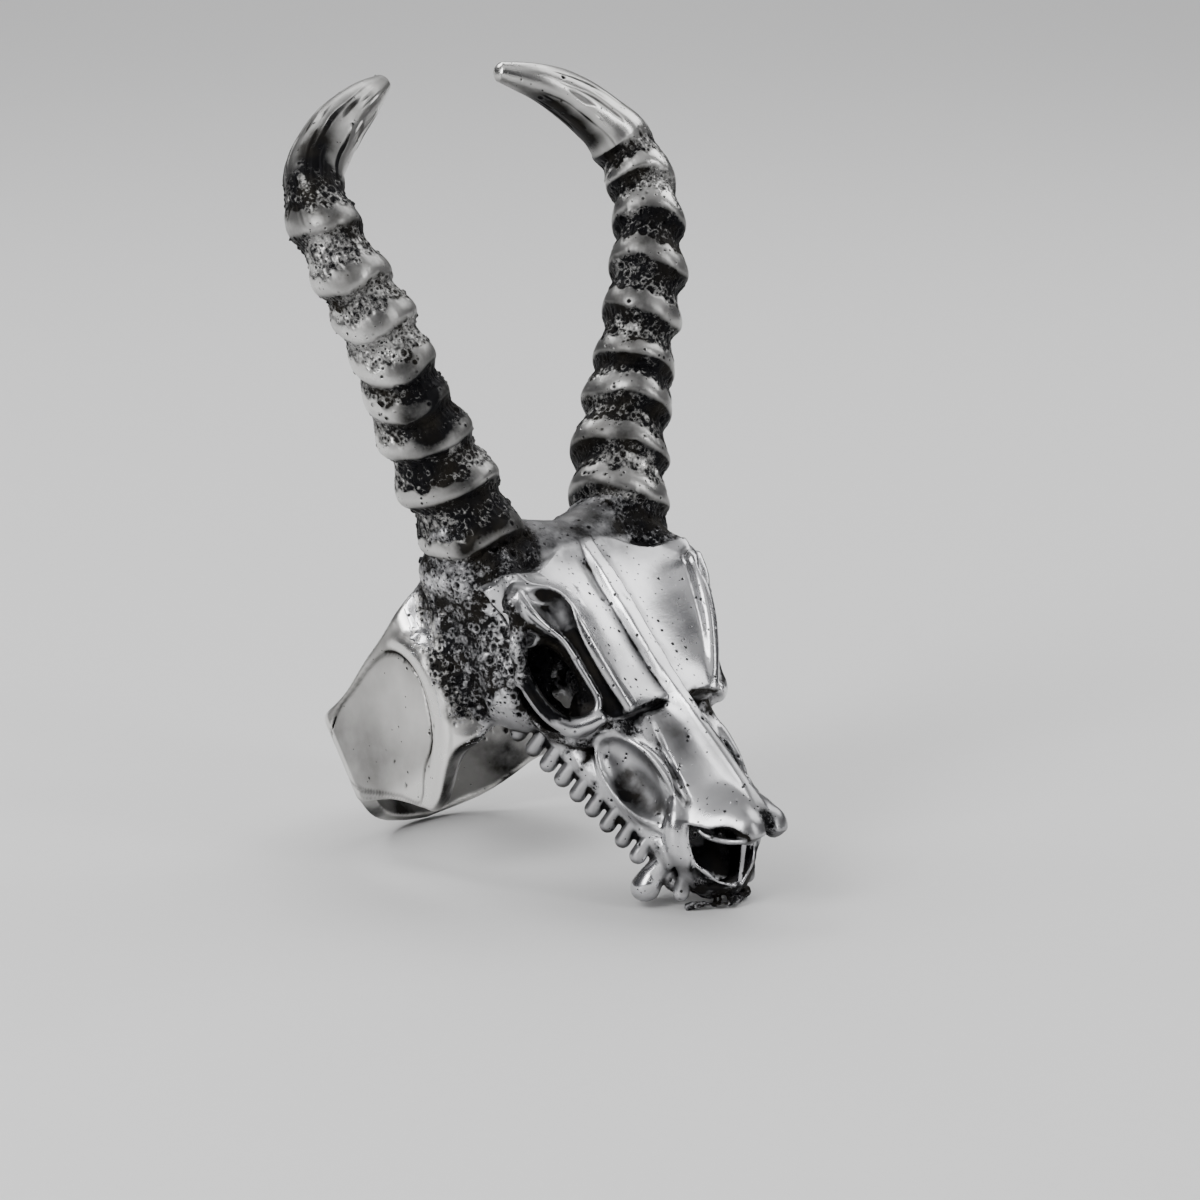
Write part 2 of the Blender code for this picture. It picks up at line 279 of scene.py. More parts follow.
def rope(points, radii, steps=3):
    """A round bar on a smooth curve through these points, as thick at each as its radius says."""
    points, radii = curved(points, radii, steps)

    def distance(x, w, a):
        nearest = np.float32(9.0)
        for start, end, thick, thin in zip(points, points[1:], radii, radii[1:]):
            run = end - start
            share = (x - start[0]) * run[0] + (w - start[1]) * run[1] + (a - start[2]) * run[2]
            share = np.clip(share / (run @ run), 0, 1)
            gap = [axis - origin - share * way for axis, origin, way in zip((x, w, a), start, run)]
            away = np.sqrt(gap[0] ** 2 + gap[1] ** 2 + gap[2] ** 2) - (thick + (thin - thick) * share)
            nearest = np.minimum(nearest, away)
        return nearest

    return (points - radii[:, None]).min(axis=0), (points + radii[:, None]).max(axis=0), distance


def ball(centre, radii, spin=0.0, tip=0.0):
    """An egg with half axes across, out and up, spun about its upright axis and then tipped, in degrees."""
    centre, radii = np.array(centre, float), np.array(radii, float)
    reach = radii.max()
    spin, tip = math.radians(spin), math.radians(tip)

    def distance(x, w, a):
        side, out, up = x - centre[0], w - centre[1], a - centre[2]
        spun = side * math.cos(spin) + out * math.sin(spin)
        out = out * math.cos(spin) - side * math.sin(spin)
        tipped = out * math.cos(tip) - up * math.sin(tip)
        up = out * math.sin(tip) + up * math.cos(tip)
        parts = [spun / radii[0], tipped / radii[1], up / radii[2]]
        length = np.sqrt(parts[0] ** 2 + parts[1] ** 2 + parts[2] ** 2) + 1e-6
        steep = np.sqrt(sum((part / radius) ** 2 for part, radius in zip(parts, radii))) + 1e-6
        return length * (length - 1) / steep

    return centre - reach, centre + reach, distance


def panel_outline():
    """The outline of the side panel, laid on the outer wall."""
    points = []
    for degrees, up in PANEL_OUTLINE:
        angle = math.radians(degrees)
        radius = min(along(OUTER_WALL, degrees)[0], PANEL_AT / math.sin(angle))
        points.append((radius * math.sin(angle), -radius * math.cos(angle), up))
    return points


def carve_band(wax):
    """The wall between the two rims, its flat side panels, and the rough metal in front."""
    def wall(x, w, a):
        radius = np.sqrt(x**2 + w**2)
        degrees = np.degrees(np.arccos(np.clip(-w / radius, -1, 1)))
        low, = along(LOWER_RIM, degrees)
        high, = along(UPPER_RIM, degrees)
        outer, = along(OUTER_WALL, degrees)
        shell = -soft_min(outer - radius, PANEL_AT - x, 0.3)
        ends = np.maximum(low - a, a - high)
        shell = -soft_min(-shell, radius - BORE_RADIUS, 0.2)
        return -soft_min(-shell, -ends, EDGE_ROUNDING)

    wax.add((BAND_LOW, BAND_HIGH, wall), 0.1)
    wax.add(rope(ROLL, (0.4, 0.6, 0.8, 0.95, 1.1, 1.15, 1.1, 0.8, 0.4)), 0.5)
    wax.add(rope(RIB, (0.8, 1.0, 1.3, 1.6, 2.3)), 1.4)
    wax.carve(((0.0, -9.2, -3.6), (9.2, 9.2, 13.4), bore), 0.15)
    wax.carve(rope(panel_outline(), 0.12), 0.08)


def bore(x, w, _):
    """The distance out of the hole for the finger."""
    return np.sqrt(x**2 + w**2) - BORE_RADIUS


def scattered(centres, salt):
    """A number from 0 to 1 for each pit, from where it is."""
    mixed = np.sin(centres @ np.array((12.99, 78.23, 37.72)) + salt) * 43758.5
    return mixed - np.floor(mixed)


def pits(places, kind, amount):
    """How deep in a round pit each place is, and how near its rim. A high amount makes pits common."""
    spacing, reach, salt = kind
    depth = np.zeros(len(places))
    rim = np.zeros(len(places))
    rough = np.flatnonzero(amount > 0.02)
    cells = [noise.voronoi(Vector(place)) for place in places[rough] / spacing + salt]
    away = np.array([cell[0][0] for cell in cells]) * spacing
    centres = np.array([cell[1][0] for cell in cells])
    inside = reach * (0.4 + 0.6 * scattered(centres, salt)) - away
    there = scattered(centres, salt + 2.0) < amount[rough]
    depth[rough] = np.where(there, eased(inside, 0, 0.1), 0)
    rim[rough] = np.where(there, np.exp(-(((inside + 0.06) / 0.07) ** 2)), 0)
    return depth, rim


def wander(places, period, salt):
    """A smooth random number about 0 at each place, that changes over this many mm."""
    return np.array([noise.noise(Vector(place)) for place in places / period + salt])


def cast(name, places, faces):
    """A smooth mesh object of these places in mm."""
    mesh = bpy.data.meshes.new(name)
    mesh.from_pydata(in_world(places), [], faces)
    mesh.update()
    mesh.shade_smooth()
    piece = bpy.data.objects.new(name, mesh)
    bpy.context.scene.collection.objects.link(piece)
    return piece


def outward(piece):
    """Which way each vertex faces, in the ring's own directions."""
    normals = np.empty(len(piece.data.vertices) * 3)
    piece.data.vertices.foreach_get("normal", normals)
    across, back, rise = normals.reshape(-1, 3).T
    out = -back * math.cos(LEAN) + rise * math.sin(LEAN)
    up = back * math.sin(LEAN) + rise * math.cos(LEAN)
    return np.stack((across, out, up), axis=1)


def reshape(piece, places):
    """Moves the vertices of a piece to these places in mm."""
    piece.data.vertices.foreach_set("co", in_world(places).ravel())
    piece.data.update()


def record(piece, name, values):
    """Stores a number for each vertex, for the material to read."""
    store = piece.data.attributes.new(name, "FLOAT", "POINT")
    store.data.foreach_set("value", np.clip(values, 0, 1).astype(np.float32))


def weather(piece, places, rough, hollow, deep=1.0, swell=0.07):
    """Dents, pits and blackening, with painted shade on faces that look down: rough metal is pitted, and
    only its high points are polished silver.
    """
    normals = outward(piece)
    large, large_rim = pits(places, LARGE_PITS, (rough - 0.25) * 0.9)
    small, small_rim = pits(places, SMALL_PITS, rough * 0.8 + 0.03)
    rim = np.maximum(large_rim, small_rim) * rough
    hills = wander(places, 2.3, 31.0)
    lumps = wander(places, 0.8, 5.0)
    fine = wander(places, 0.36, 9.0)
    sink = rough * (0.28 * hills + 0.12 * lumps + 0.03 * fine) + 0.24 * large + 0.12 * small - 0.04 * rim
    swelling = swell * wander(places, 3.2, 21.0)
    reshape(piece, places - normals * (deep * sink + swelling)[:, None])
    peaks = eased(-1.3 * hills - 0.6 * lumps - 0.25 * fine, 0.18, 1.0)
    rising = normals[:, 1] * math.sin(LEAN) + normals[:, 2] * math.cos(LEAN)
    # Faces that look down are darkened as painted shade
    bright = (1 - rough * (1 - peaks)) * (1 - 0.5 * eased(-rising, 0.0, 0.7)) + 0.4 * rim
    # The hollow values bring blackening in the hollows and the painted shade that the callers add
    bright = bright * (1 - np.clip(hollow, 0, 1) * (0.95 - 0.2 * rough))
    record(piece, "oxide_and_shade", 1 - bright * (1 - large) * (1 - 0.95 * small))
    record(piece, "rough", rough)


class Value:
    """A socket of a material's nodes, so that sums are written as sums."""

    def __init__(self, nodes, socket):
        self.nodes, self.socket = nodes, socket

    def _math(self, operation, first, second):
        return self.nodes.add("ShaderNodeMath", {"operation": operation}, [first, second])

    def __add__(self, other):
        return self._math("ADD", self, other)

    def __sub__(self, other):
        return self._math("SUBTRACT", self, other)

    def __mul__(self, other):
        return self._math("MULTIPLY", self, other)

    def __rsub__(self, other):
        return self._math("SUBTRACT", other, self)

    __radd__ = __add__
    __rmul__ = __mul__


class Nodes:
    """A material's nodes, added one call at a time."""

    def __init__(self, material):
        self.tree = material.node_tree

    def add(self, kind, settings, inputs, output=0):
        """A node of this type with its settings, then its inputs as a list or by name, and one output."""
        node = self.tree.nodes.new(kind)
        for name, value in settings.items():
            setattr(node, name, value)
        pairs = inputs.items() if isinstance(inputs, dict) else enumerate(inputs)
        for key, value in pairs:
            if isinstance(value, Value):
                self.tree.links.new(value.socket, node.inputs[key])
            else:
                node.inputs[key].default_value = value
        return Value(self, node.outputs[output])

    def noise(self, place, scale, detail):
        """A cloudy pattern with this many clouds to the metre."""
        inputs = {"Vector": place, "Scale": scale, "Detail": detail}
        return self.add("ShaderNodeTexNoise", {}, inputs, "Fac")

    def blend(self, share, first, second):
        """One colour turning into another."""
        return self.add("ShaderNodeMix", {"data_type": "RGBA"}, {0: share, 6: first, 7: second}, 2)

    def set(self, shader, name, value):
        """Feeds a varying value to one of the shader's sockets."""
        self.tree.links.new(value.socket, shader.inputs[name])


def pinholes(nodes, place, scale, reach, amount):
    """Round holes too fine for the mesh, in this share of the cells of a pattern, and their rims."""
    cells = {"Vector": place, "Scale": scale}
    near = nodes.add("ShaderNodeTexVoronoi", {}, cells, "Distance")
    chance = nodes.add("ShaderNodeTexVoronoi", {}, cells, "Color")
    there = nodes.add("ShaderNodeMath", {"operation": "LESS_THAN"}, [chance, amount])
    off_rim = nodes.add("ShaderNodeMath", {"operation": "ABSOLUTE"}, [near - (reach + 0.07)])
    rim = nodes.add("ShaderNodeClamp", {}, [1.0 - off_rim * 13.0])
    return nodes.add("ShaderNodeClamp", {}, [(reach - near) * 9.0]) * there, rim * there


def silver(name, tint, gloss, veil, pitted):
    """Silver that was blackened all over and polished back, with fine grain and the buff's scratches, and
    painted shade read from the mesh.
    """
    material = bpy.data.materials.new(name)
    material.use_nodes = True
    nodes = Nodes(material)
    shader = material.node_tree.nodes["Principled BSDF"]
    shader.inputs["Metallic"].default_value = 1.0

    place = nodes.add("ShaderNodeTexCoord", {}, {}, "Object")
    oxide_and_shade = nodes.add("ShaderNodeAttribute", {"attribute_name": "oxide_and_shade"}, {}, "Fac")
    rough = nodes.add("ShaderNodeAttribute", {"attribute_name": "rough"}, {}, "Fac")
    clouds = nodes.noise(place, 130.0, 3.0)
    smoke = nodes.noise(place, 450.0, 5.0)
    grain = nodes.noise(place, 4200.0, 3.0)
    streaks = nodes.add("ShaderNodeMapping", {"vector_type": "POINT"},
                        {"Vector": place, "Rotation": (0.6, 0.3, 0.5), "Scale": (0.25, 2.4, 2.4)})
    brushed = nodes.noise(streaks, 3000.0, 3.0)
    holes, rims = pinholes(nodes, place, 2300.0, 0.32, rough * 0.5 + pitted)
    tiny_holes, tiny_rims = pinholes(nodes, place, 4300.0, 0.30, rough * 0.45 + pitted)
    holes = nodes.add("ShaderNodeMath", {"operation": "MAXIMUM"}, [holes, tiny_holes])
    rims = nodes.add("ShaderNodeMath", {"operation": "MAXIMUM"}, [rims, tiny_rims]) * rough

    # The attribute read here carries painted shade as well as the blackening
    black = oxide_and_shade * 1.15 + (smoke - 0.5) * 0.8 * (oxide_and_shade + 0.15) + (grain - 0.5) * 0.9 * rough - rims * 0.22
    black = black + ((clouds - 0.5) * 4.0 + 0.3) * veil - 0.06
    black = nodes.add("ShaderNodeMath", {"operation": "MAXIMUM"}, [black, holes * 0.95])
    black = nodes.add("ShaderNodeClamp", {}, [black])
    brown = nodes.add("ShaderNodeClamp", {}, [(smoke - 0.46) * 4.0])
    dark_tint = nodes.blend(brown, (0.008, 0.008, 0.009, 1), (0.019, 0.017, 0.014, 1))
    nodes.set(shader, "Base Color", nodes.blend(black, (*tint, 1), dark_tint))
    nodes.set(shader, "Roughness", black * 0.28 + (smoke - 0.5) * 0.14 + rough * 0.04 + gloss)

    height = grain * (rough * 1.0 + 0.06) + brushed * 0.12 + smoke * 0.5 + rims * 0.5 - holes * 1.4
    relief = nodes.add("ShaderNodeBump", {}, {"Strength": 0.7, "Distance": 0.00004, "Height": height})
    nodes.set(shader, "Normal", relief)
    return material


def front_roughness(places):
    """1 on the pitted metal in front, 0 on the smooth shank and along its lower rim."""
    _, out, up = places.T
    ragged = 0.7 * wander(places, 1.6, 2.0)
    return eased(out + ragged, 7.3, 8.6) * np.maximum(eased(up + ragged, 0.5, 1.6), eased(out, 12.0, 13.0))


half_band = Wax(BAND_LOW, BAND_HIGH, BAND_CELL)
carve_band(half_band)
half_band.mirror()
places, faces = half_band.skin()
band = cast("band_cast", places, faces)
radius = np.hypot(places[:, 0], places[:, 1])
across, out, up = np.abs(places[:, 0]), places[:, 1], places[:, 2]
rough = front_roughness(places) * eased(radius, 9.2, 9.7)

# Black in the panel's line and low in the rough metal, and painted shade on the faces that look down under
# the front and on the wall round the finger
panel_line = 1 - eased(rope(panel_outline(), 0.03)[2](across, out, up), 0.02, 0.16)
below_front = eased(out, 2.0, 3.5) + eased(-out, 6.0, 7.0) * eased(across, 5.0, 6.0)
painted_underside_shade = eased(-outward(band)[:, 2], 0.35, 0.75) * below_front
low_front = 1 - eased(ball((9.0, 10.5, 2.3), (2.6, 3.6, 2.6))[2](across, out, up), -0.5, 0.8)
hollow = 0.8 * eased(half_band.hollowness(places, 0.35), 0.02, 0.2) + 0.55 * panel_line + 0.85 * painted_underside_shade
hollow = hollow + 0.6 * rough * low_front
painted_bore_and_panel_shade = eased(9.3 - radius, 0.05, 0.15) * np.clip(0.74 + 0.4 * wander(places, 3.5, 6.0), 0.5, 0.9)

# Painted shade on the flat panels, a faint darkening that grows towards the palm and the upper rim, mottled
# at random
painted_panel_shade = 0.22 + 0.42 * eased(-out, -4.0, 6.0) + 0.2 * eased(up, 4.0, 8.5)
painted_panel_shade = painted_panel_shade + 0.35 * wander(places, 5.5, 14.0)
on_panel = eased(across, 9.90, 9.96) * (1 - eased(across, 10.04, 10.1)) * eased(up, -0.8, 0.8)
painted_bore_and_panel_shade = painted_bore_and_panel_shade + on_panel * np.clip(painted_panel_shade, 0, 1)
weather(band, places, rough, hollow + painted_bore_and_panel_shade, deep=0.9, swell=0.02)
band.data.materials.append(silver("polished_silver", (0.76, 0.75, 0.73), gloss=0.28, veil=0.12, pitted=0.1))
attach(band, "root")
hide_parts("band")


# Skull
# One silver casting with its teeth, eye rims and nose. It is carved in wax, cast, blackened all over and
# polished, so that the black stays only in the hollows, and it is soldered onto the front of the band.

# The step and the corners of the grid that half of the skull is carved on, and how fine its mesh stays
SKULL_CELL = 0.115
SKULL_LOW = (0.0, 7.0, -18.0)
SKULL_HIGH = (11.6, 22.6, 16.5)
SKULL_TRIANGLES = 194000
TOOTH_COUNT = 9

# Up the bore, then the crest's height, how far out the brow ridge is, and the brow's height
FOREHEAD = ((-3.4, 18.9, 3.8, 17.7), (-2.5, 18.8, 4.1, 17.8), (-0.6, 18.3, 4.9, 18.0),
            (2.0, 17.9, 5.8, 18.35), (4.5, 17.5, 6.3, 18.35), (6.1, 17.2, 6.8, 18.0),
            (7.3, 17.0, 7.7, 17.2), (9.2, 16.4, 8.4, 16.4), (10.2, 16.1, 8.2, 16.0))
# Up the bore, then the ridge's height and the half width of its top
CREST = ((-13.8, 20.9, 0.6), (-12.2, 21.15, 0.5), (-11.0, 21.0, 0.4), (-9.4, 20.65, 0.32),
         (-7.5, 20.15, 0.3), (-5.0, 19.45, 0.3), (-2.5, 18.85, 0.42), (-0.6, 18.35, 0.55),
         (2.0, 17.9, 0.62), (4.5, 17.5, 0.62), (6.1, 17.2, 0.6), (7.3, 17.0, 0.55), (8.6, 16.6, 0.5),
         (9.5, 16.1, 0.45))
# Up the bore, then the nose ridge's height, its sides' half width and height, and how blunt its roof is
NOSE = ((-15.0, 21.0, 2.6, 19.4, 3.2), (-13.6, 21.1, 2.9, 19.2, 3.4), (-12.2, 21.1, 3.2, 18.7, 2.7),
        (-11.0, 20.9, 3.3, 18.1, 1.7), (-9.4, 20.5, 2.8, 18.1, 1.15), (-7.5, 20.0, 2.5, 18.1, 1.1),
        (-5.0, 19.3, 2.4, 17.6, 1.1), (-3.2, 18.7, 2.3, 17.0, 1.1), (-1.0, 17.4, 1.8, 16.2, 1.1))
# Middle lines of the rims, bars and cuts round the eye, across, out and up in mm
BROW_RIM = ((8.1, 16.6, 7.2), (7.4, 17.25, 6.6), (6.7, 18.1, 5.6), (6.1, 18.4, 4.0), (5.6, 18.3, 1.8),
            (4.8, 17.95, -0.6), (4.0, 17.6, -2.6))
EYE_RIM = ((8.4, 16.9, 6.7), (8.1, 17.1, 5.1), (7.4, 17.2, 3.9), (6.7, 17.3, 2.8), (6.1, 17.0, 1.2),
           (5.7, 16.9, -0.3), (5.4, 16.7, -1.5), (5.7, 16.1, -2.2), (6.3, 15.3, -2.5))
CHEEK_BONE = ((8.5, 16.4, 6.2), (8.7, 15.7, 4.4), (8.7, 14.7, 2.8), (8.4, 14.3, 0.8), (7.9, 14.4, -0.9),
              (7.4, 14.8, -2.0), (6.7, 15.0, -2.6), (6.2, 15.2, -2.5))
EYE_HOLE = ((8.3, 16.6, 3.9), (7.9, 16.3, 2.7), (7.4, 15.9, 1.0), (7.0, 16.0, -0.4), (6.5, 16.0, -1.3))
CHANNEL = ((8.0, 18.3, 6.0), (7.5, 18.5, 5.0), (7.2, 18.3, 4.0), (6.55, 17.95, 2.6), (6.0, 17.7, 0.7),
           (5.5, 17.45, -1.1), (5.0, 17.15, -2.6))
CREST_GROOVE = ((1.15, 16.3, 8.2), (1.15, 16.75, 6.2), (1.15, 17.25, 3.8), (1.2, 17.7, 1.2),
                (1.2, 18.3, -1.0))
NASAL_STEP = ((5.4, 17.0, -3.9), (3.6, 17.8, -3.8), (2.3, 18.2, -3.6), (1.6, 18.35, -3.2))
CREST_END = ((1.1, 18.4, -0.8), (1.1, 18.7, -1.8), (1.0, 18.95, -2.7))
EYE_CORNER = ((6.9, 14.8, -2.3), (6.2, 15.6, -2.6), (5.6, 16.3, -2.6))
LEAF_EDGE = ((3.0, 16.7, 6.8), (2.8, 17.1, 5.2), (2.75, 17.4, 3.6), (3.0, 17.7, 2.0), (3.4, 17.95, 0.8))
CHEEK_FACE = ((8.9, 14.8, 2.0), (8.87, 14.8, 0.65), (8.37, 14.9, -1.05), (7.6, 15.3, -2.2))
# The same for the spoon in the cheek, the nose and the jaw
NOSE_GROOVE = ((2.4, 17.3, -3.8), (2.7, 17.5, -6.0), (2.85, 17.7, -8.0), (3.1, 18.0, -9.8))
SPOON_BACK = ((5.0, 14.9, -3.7), (4.9, 14.4, -5.0), (4.7, 14.4, -6.9), (4.4, 15.0, -9.1),
              (3.9, 16.0, -10.9))
SPOON_FRONT = ((4.6, 15.4, -3.9), (3.7, 16.9, -5.6), (3.3, 17.5, -7.4), (3.1, 17.6, -9.2),
               (3.3, 17.0, -10.7))
NOSTRIL_SIDE = ((3.3, 17.3, -9.8), (3.55, 17.0, -10.8), (3.6, 16.3, -11.9), (3.2, 15.7, -13.1),
                (2.8, 15.3, -13.9))
NOSTRIL = ((1.25, 16.6, -10.2), (1.45, 17.2, -12.7), (1.6, 17.7, -15.4))
FRONT_ARCH = ((2.8, 15.2, -14.0), (1.8, 15.0, -15.1), (0.6, 15.2, -15.6), (-0.6, 15.2, -15.6))
ARCH_LIP = ((3.2, 16.6, -12.4), (2.85, 16.2, -13.6), (2.1, 16.2, -14.6), (1.3, 16.05, -15.3),
            (0.3, 16.25, -15.8))
RAGGED_EDGE = ((2.5, 13.7, -15.8), (2.0, 14.5, -16.1), (1.6, 14.8, -16.3), (1.2, 14.7, -16.4),
               (0.8, 15.1, -16.5), (0.4, 15.2, -16.6), (0.0, 15.4, -16.5))
FANG = ((3.2, 14.9, -12.4), (3.7, 13.4, -12.9), (4.05, 12.3, -13.5))
LENS = ((2.6, 18.3, -12.0), (2.45, 19.1, -12.75), (2.15, 19.9, -13.35), (1.85, 20.5, -13.8))
LIP = ((2.6, 17.6, -11.9), (2.3, 17.95, -12.6), (2.0, 19.2, -13.5), (1.5, 20.3, -14.05))


def forehead(x, a):
    """A shallow trough from brow to brow."""
    middle, brow_across, brow = along(FOREHEAD, a)
    valley = middle - 0.7
    rise = np.clip((x - 0.9) / (brow_across - 0.9), 0, 1) ** 1.9
    side = valley + (brow - valley) * rise - 2.2 * np.maximum(x - brow_across, 0)
    side = side - 2.5 * np.maximum(a - 9.8 + 1.7 * eased(x, 1.0, 6.0), 0)
    side = side - 5.0 * np.maximum(-2.8 - a, 0)
    return side


def crest(x, a):
    """The flat-topped ridge down the middle of the brow, that narrows to the ridge of the nose."""
    top, half = along(CREST, a)
    return top - 2.4 * np.maximum(x - half, 0) - 0.12 * x**2


def nose(x, a):
    """A roof with a round ridge and hollow sides, that swells to a blunt end."""
    ridge, edge_across, edge, blunt = along(NOSE, a)
    share = np.clip(x / edge_across, 0, 1)
    hollow = np.clip(0.7 / blunt - 0.3, 0, 0.35) * np.sin(np.pi * share)
    return ridge - (ridge - edge) * share**blunt - hollow - 1.3 * np.maximum(x - edge_across, 0)


def relief(low, high, height):
    """Everything below a height out from the bore, given as a function of the places across and up."""
    def distance(x, w, a):
        sides = np.maximum(np.maximum(low[0] - 9 - x, x - high[0]), np.maximum(low[2] - a, a - high[2]))
        top = (w - height(x, a)) * 0.85
        return np.maximum(np.maximum(top, low[1] - w), sides)

    return low, high, distance


def carve_head(wax):
    """The braincase, the face, the roots of the horns and the sockets of the eyes."""
    wax.add(ball((0, 11.8, 7.2), (7.6, 4.2, 5.2)))
    wax.add(relief((0, 14.6, -4.2), (9.0, 20.0, 11.2), forehead), 0.5, polished=True)
    wax.add(relief((0, 14.6, -14.6), (1.3, 22.0, 9.6), crest), 0.12, polished=True)
    wax.add(rope(((5.6, 11.6, 7.3), (6.6, 12.7, 10.2), (7.2, 13.8, 12.9)), (3.3, 3.1, 2.95)), 1.0)
    wax.add(rope(((0, 13.7, 9.6), (4.0, 13.0, 10.4)), (2.3, 2.8)), 1.2)
    wax.add(ball((6.5, 11.2, 4.6), (2.5, 3.4, 5.6)), 0.8)
    wax.add(rope(((6.0, 13.2, -1.2), (5.2, 14.2, -2.2)), (1.5, 1.6)), 0.8)
    wax.carve(ball((6.7, 14.2, 0.8), (2.0, 2.6, 3.0), spin=-38), 0.25, shade=1.0)
    wax.carve(rope(EYE_HOLE, (0.7, 1.2, 1.65, 1.5, 1.15)), 0.25, shade=1.0)
    wax.add(rope(((8.2, 16.2, 6.4), (7.4, 16.5, 5.0), (6.8, 16.9, 3.8)), (0.9, 0.9, 0.6)), 0.4)
    wax.add(rope(((6.6, 14.2, 9.8), (7.3, 15.6, 8.6), (7.7, 16.4, 7.6)), (1.3, 1.0, 0.5)), 0.9)
    wax.add(rope(BROW_RIM, (0.4, 0.58, 0.6, 0.56, 0.52, 0.47, 0.42)), 0.3, polished=True, rim=True)
    wax.add(rope(CHEEK_BONE, (0.5, 0.5, 0.55, 0.55, 0.55, 0.58, 0.55, 0.4)), 0.3)
    wax.polish(rope(CHEEK_BONE[3:], 0.5))
    wax.carve(rope(CHANNEL[:4], (0.8, 1.2, 0.95, 0.5)), 0.25, polished=True, shade=0.8)
    wax.carve(rope(CHANNEL[3:], (0.55, 0.5, 0.55, 0.7)), 0.15, polished=True, shade=1.0)
    wax.add(rope(EYE_RIM, (0.35, 0.3, 0.25, 0.23, 0.22, 0.22, 0.25, 0.35, 0.45)), 0.1, polished=True,
            rim=True)
    wax.add(rope(EYE_CORNER, (0.65, 0.6, 0.5)), 0.3, polished=True, rim=True)
    # Blackening in the recess under the end of the brow, with painted shade on the wall that faces down
    wax.carve(rope(NASAL_STEP, (0.65, 0.65, 0.55, 0.3)), shade=0.95, reach=0.6)
    wax.roughen(rope(((5.2, 17.0, -3.6), (3.6, 17.7, -3.6), (1.8, 18.2, -3.4)), 0.6), 0.9)
    wax.carve(rope(CREST_END, (0.3, 0.42, 0.36)), 0.1, shade=0.8)
    wax.carve(rope(CREST_GROOVE, (0.12, 0.25, 0.26, 0.26, 0.25)), 0.15, shade=0.2, reach=0.6)
    wax.roughen(rope(CREST_GROOVE, 0.25), 0.22)
    # Painted shade along the face of the cheek bar that looks forward, between its bright edges
    wax.blacken_and_shade(rope(CHEEK_FACE, 0.42), 0.25, 0.3)


def carve_muzzle(wax):
    """The nose, the cheeks with their polished spoons, and the jaw."""
    wax.add(relief((0, 15.0, -15.4), (3.6, 22.0, -0.8), nose), 0.3, polished=True)
    wax.add(rope(((0, 13.2, 0.5), (0, 14.4, -6.0), (0, 14.9, -11.6)), (3.2, 2.4, 2.1)), 0.5)
    wax.add(rope(((5.2, 11.6, -0.6), (4.8, 12.6, -4.2), (4.2, 13.5, -7.6), (3.5, 14.7, -11.0),
                  (3.2, 15.0, -12.8)), (1.3, 1.15, 1.0, 0.95, 0.9)))
    wax.add(rope(((4.2, 14.6, -1.5), (3.6, 15.6, -3.9), (3.0, 16.2, -6.0)), (1.5, 1.1, 0.9)), 0.6)
    wax.add(ball((3.6, 15.6, -7.2), (0.95, 1.9, 3.7), spin=27, tip=-10), 0.2, polished=True)
    wax.add(rope(SPOON_BACK, (0.35, 0.6, 0.7, 0.6, 0.4)), 0.35, polished=True, rim=True)
    wax.add(rope(SPOON_FRONT, (0.35, 0.4, 0.4, 0.4, 0.4)), 0.3, polished=True, rim=True)
    # The spoon's dish, darkened and more so low in it, as a painted dark reflection
    wax.carve(ball((5.25, 16.3, -7.3), (1.85, 1.85, 3.7), tip=-16), 0.25, polished=True, shade=0.3)
    wax.blacken_and_shade(ball((4.2, 15.4, -8.3), (1.2, 1.2, 2.3), tip=-16), 0.45, 0.6)
    wax.carve(rope(NOSE_GROOVE, (0.25, 0.28, 0.32, 0.25)), 0.35)
    wax.roughen(rope(NOSE_GROOVE, 0.3), 0.25)
    wax.blacken_and_shade(rope(((1.5, 18.1, -4.2), (1.8, 18.6, -6.4)), 0.1), 0.4, 1.5)


def beyond_nose(_, w, a):
    """Past the plane that cuts off the nose, which slopes back from the tips to the mouth."""
    return (a + 13.85 - 0.85 * (20.7 - w)) * 0.76


